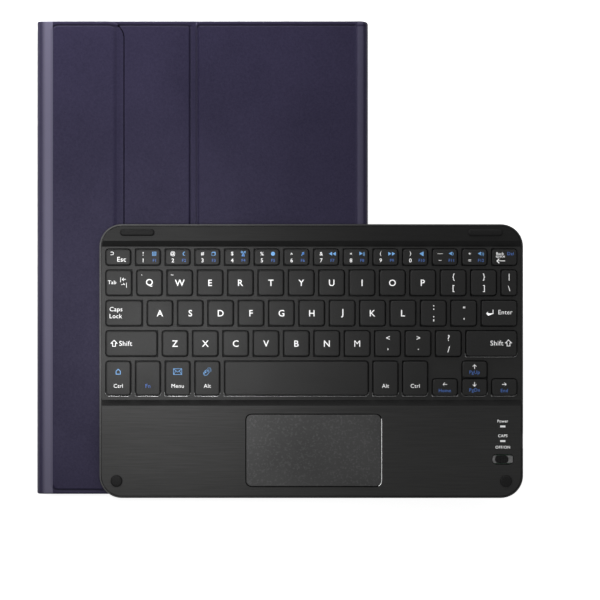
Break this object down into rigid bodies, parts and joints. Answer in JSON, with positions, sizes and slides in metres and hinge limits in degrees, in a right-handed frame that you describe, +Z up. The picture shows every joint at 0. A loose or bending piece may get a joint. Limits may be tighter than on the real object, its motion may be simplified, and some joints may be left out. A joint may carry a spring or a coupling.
{
  "type": "tablet keyboard case",
  "caption": "Leather folio with a tablet tray, a rounded spine and a folding front panel, with a detachable wireless keyboard and touchpad lying on it.",
  "frame": {"origin": "centre of the closed folio's underside, which lies on the table", "axes": "+X from the spine to the free edge, +Y along the spine away from the keyboard's front edge, +Z up through the closed covers"},
  "size_m": [0.2724, 0.2672, 0.0291],
  "materials": {
    "leather": "fine matt grain",
    "lining": "brushed microfibre",
    "fibreboard": "pressed fibre board",
    "tray_plastic": "fine texture",
    "magnet": "nickel plated",
    "steel": "zinc plated",
    "base_metal": "satin black",
    "housing_plastic": "brushed texture",
    "keycap": "fine matt",
    "touchpad": "fine speckle",
    "rubber": "matt",
    "silicone": "translucent",
    "film": "clear film with tracks",
    "board": "solder mask",
    "battery": "foil pouch",
    "lens": "frosted",
    "switch_plastic": "fine texture"
  },
  "bodies": {
    "front_cover": {"front_leather": "leather", "front_board": "fibreboard", "front_lining": "lining", "hinge_strip": "leather", "strip_board": "fibreboard"},
    "fold_panel": {"fold_leather": "leather", "fold_board": "fibreboard", "fold_lining": "lining", "edge_bar": "tray_plastic", "edge_magnets": "magnet", "cover_magnets": "magnet"},
    "spine": {"spine_leather": "leather", "spine_board": "fibreboard"},
    "back_cover": {"back_leather": "leather", "back_board": "fibreboard", "back_lining": "lining", "latch_strip": "steel", "tablet_tray": "tray_plastic"},
    "keyboard": {"base_shell": "base_metal", "housing": "housing_plastic", "dome_sheet": "silicone", "contact_sheet": "film", "circuit_board": "board", "battery": "battery", "charge_socket": "steel", "touchpad_switch": "switch_plastic", "indicator_lenses": "lens", "switch_body": "steel", "bar_bumpers": "rubber", "round_bumpers": "rubber", "base_screws": "steel"},
    "touchpad": {"touchpad": "touchpad"},
    "power_switch": {"switch_knob": "switch_plastic"},
    "key_escape": {"key_escape": "keycap"},
    "key_backspace": {"key_backspace": "keycap"},
    "key_tab": {"key_tab": "keycap"},
    "key_backslash": {"key_backslash": "keycap"},
    "key_caps_lock": {"key_caps_lock": "keycap"},
    "key_enter": {"key_enter": "keycap"},
    "key_shift_left": {"key_shift_left": "keycap"},
    "key_shift_right": {"key_shift_right": "keycap"},
    "key_control_left": {"key_control_left": "keycap"},
    "key_fn": {"key_fn": "keycap"},
    "key_menu": {"key_menu": "keycap"},
    "key_alt_left": {"key_alt_left": "keycap"},
    "key_space": {"key_space": "keycap"},
    "key_alt_right": {"key_alt_right": "keycap"},
    "key_control_right": {"key_control_right": "keycap"},
    "key_arrow_left": {"key_arrow_left": "keycap"},
    "key_arrow_up": {"key_arrow_up": "keycap"},
    "key_arrow_down": {"key_arrow_down": "keycap"},
    "key_arrow_right": {"key_arrow_right": "keycap"},
    "keys_number_left": {"keys_number_left": "keycap"},
    "keys_number_right": {"keys_number_right": "keycap"},
    "keys_upper_left": {"keys_upper_left": "keycap"},
    "keys_upper_right": {"keys_upper_right": "keycap"},
    "keys_home_left": {"keys_home_left": "keycap"},
    "keys_home_right": {"keys_home_right": "keycap"},
    "keys_lower_left": {"keys_lower_left": "keycap"},
    "keys_lower_right": {"keys_lower_right": "keycap"}
  },
  "joints": [
    {"name": "case_spine_hinge", "type": "hinge", "parent": "front_cover", "child": "spine", "pos_m": [-0.0839, 0, 0.0231], "axis": [0, 1, 0], "range_deg": [0, 115]},
    {"name": "case_back_hinge", "type": "hinge", "parent": "spine", "child": "back_cover", "pos_m": [-0.0839, 0, -0.0001], "axis": [0, 1, 0], "range_deg": [0, 180]},
    {"name": "case_panel_fold", "type": "hinge", "parent": "front_cover", "child": "fold_panel", "pos_m": [-0.0047, 0, 0.0219], "axis": [0, -1, 0], "range_deg": [0, 120]},
    {"name": "keyboard_lift", "type": "slide", "parent": "front_cover", "child": "keyboard", "axis": [0, 0, 1], "range_m": [0, 0.2103]},
    {"name": "button_power_slide", "type": "slide", "parent": "keyboard", "child": "power_switch", "axis": [1, 0, 0], "range_m": [0, 0.002]},
    {"name": "button_touchpad_press", "type": "hinge", "parent": "keyboard", "child": "touchpad", "pos_m": [0.0627, -0.08748, 0.02765], "axis": [1, 0, 0], "range_deg": [0, 0.5], "stiffness_Nm_per_rad": 1.5, "springref_deg": -1.72},
    {"name": "key_press_escape", "type": "slide", "parent": "keyboard", "child": "key_escape", "axis": [0, 0, -1], "range_m": [0, 0.0015], "stiffness_N_per_m": 300, "springref_m": -0.0005},
    {"name": "key_press_backspace", "type": "slide", "parent": "keyboard", "child": "key_backspace", "axis": [0, 0, -1], "range_m": [0, 0.0015], "stiffness_N_per_m": 300, "springref_m": -0.0005},
    {"name": "key_press_tab", "type": "slide", "parent": "keyboard", "child": "key_tab", "axis": [0, 0, -1], "range_m": [0, 0.0015], "stiffness_N_per_m": 300, "springref_m": -0.0005},
    {"name": "key_press_backslash", "type": "slide", "parent": "keyboard", "child": "key_backslash", "axis": [0, 0, -1], "range_m": [0, 0.0015], "stiffness_N_per_m": 300, "springref_m": -0.0005},
    {"name": "key_press_caps_lock", "type": "slide", "parent": "keyboard", "child": "key_caps_lock", "axis": [0, 0, -1], "range_m": [0, 0.0015], "stiffness_N_per_m": 300, "springref_m": -0.0005},
    {"name": "key_press_enter", "type": "slide", "parent": "keyboard", "child": "key_enter", "axis": [0, 0, -1], "range_m": [0, 0.0015], "stiffness_N_per_m": 300, "springref_m": -0.0005},
    {"name": "key_press_shift_left", "type": "slide", "parent": "keyboard", "child": "key_shift_left", "axis": [0, 0, -1], "range_m": [0, 0.0015], "stiffness_N_per_m": 300, "springref_m": -0.0005},
    {"name": "key_press_shift_right", "type": "slide", "parent": "keyboard", "child": "key_shift_right", "axis": [0, 0, -1], "range_m": [0, 0.0015], "stiffness_N_per_m": 300, "springref_m": -0.0005},
    {"name": "key_press_control_left", "type": "slide", "parent": "keyboard", "child": "key_control_left", "axis": [0, 0, -1], "range_m": [0, 0.0015], "stiffness_N_per_m": 300, "springref_m": -0.0005},
    {"name": "key_press_fn", "type": "slide", "parent": "keyboard", "child": "key_fn", "axis": [0, 0, -1], "range_m": [0, 0.0015], "stiffness_N_per_m": 300, "springref_m": -0.0005},
    {"name": "key_press_menu", "type": "slide", "parent": "keyboard", "child": "key_menu", "axis": [0, 0, -1], "range_m": [0, 0.0015], "stiffness_N_per_m": 300, "springref_m": -0.0005},
    {"name": "key_press_alt_left", "type": "slide", "parent": "keyboard", "child": "key_alt_left", "axis": [0, 0, -1], "range_m": [0, 0.0015], "stiffness_N_per_m": 300, "springref_m": -0.0005},
    {"name": "key_press_space", "type": "slide", "parent": "keyboard", "child": "key_space", "axis": [0, 0, -1], "range_m": [0, 0.0015], "stiffness_N_per_m": 300, "springref_m": -0.0005},
    {"name": "key_press_alt_right", "type": "slide", "parent": "keyboard", "child": "key_alt_right", "axis": [0, 0, -1], "range_m": [0, 0.0015], "stiffness_N_per_m": 300, "springref_m": -0.0005},
    {"name": "key_press_control_right", "type": "slide", "parent": "keyboard", "child": "key_control_right", "axis": [0, 0, -1], "range_m": [0, 0.0015], "stiffness_N_per_m": 300, "springref_m": -0.0005},
    {"name": "key_press_arrow_left", "type": "slide", "parent": "keyboard", "child": "key_arrow_left", "axis": [0, 0, -1], "range_m": [0, 0.0015], "stiffness_N_per_m": 300, "springref_m": -0.0005},
    {"name": "key_press_arrow_up", "type": "slide", "parent": "keyboard", "child": "key_arrow_up", "axis": [0, 0, -1], "range_m": [0, 0.0015], "stiffness_N_per_m": 300, "springref_m": -0.0005},
    {"name": "key_press_arrow_down", "type": "slide", "parent": "keyboard", "child": "key_arrow_down", "axis": [0, 0, -1], "range_m": [0, 0.0015], "stiffness_N_per_m": 300, "springref_m": -0.0005},
    {"name": "key_press_arrow_right", "type": "slide", "parent": "keyboard", "child": "key_arrow_right", "axis": [0, 0, -1], "range_m": [0, 0.0015], "stiffness_N_per_m": 300, "springref_m": -0.0005},
    {"name": "key_press_number_left", "type": "slide", "parent": "keyboard", "child": "keys_number_left", "axis": [0, 0, -1], "range_m": [0, 0.0015], "stiffness_N_per_m": 300, "springref_m": -0.0005},
    {"name": "key_press_number_right", "type": "slide", "parent": "keyboard", "child": "keys_number_right", "axis": [0, 0, -1], "range_m": [0, 0.0015], "stiffness_N_per_m": 300, "springref_m": -0.0005},
    {"name": "key_press_upper_left", "type": "slide", "parent": "keyboard", "child": "keys_upper_left", "axis": [0, 0, -1], "range_m": [0, 0.0015], "stiffness_N_per_m": 300, "springref_m": -0.0005},
    {"name": "key_press_upper_right", "type": "slide", "parent": "keyboard", "child": "keys_upper_right", "axis": [0, 0, -1], "range_m": [0, 0.0015], "stiffness_N_per_m": 300, "springref_m": -0.0005},
    {"name": "key_press_home_left", "type": "slide", "parent": "keyboard", "child": "keys_home_left", "axis": [0, 0, -1], "range_m": [0, 0.0015], "stiffness_N_per_m": 300, "springref_m": -0.0005},
    {"name": "key_press_home_right", "type": "slide", "parent": "keyboard", "child": "keys_home_right", "axis": [0, 0, -1], "range_m": [0, 0.0015], "stiffness_N_per_m": 300, "springref_m": -0.0005},
    {"name": "key_press_lower_left", "type": "slide", "parent": "keyboard", "child": "keys_lower_left", "axis": [0, 0, -1], "range_m": [0, 0.0015], "stiffness_N_per_m": 300, "springref_m": -0.0005},
    {"name": "key_press_lower_right", "type": "slide", "parent": "keyboard", "child": "keys_lower_right", "axis": [0, 0, -1], "range_m": [0, 0.0015], "stiffness_N_per_m": 300, "springref_m": -0.0005}
  ],
  "couplings": [
    {"joint": "keyboard_lift", "follows": "case_panel_fold", "m_per_rad": 0.1003}
  ]
}
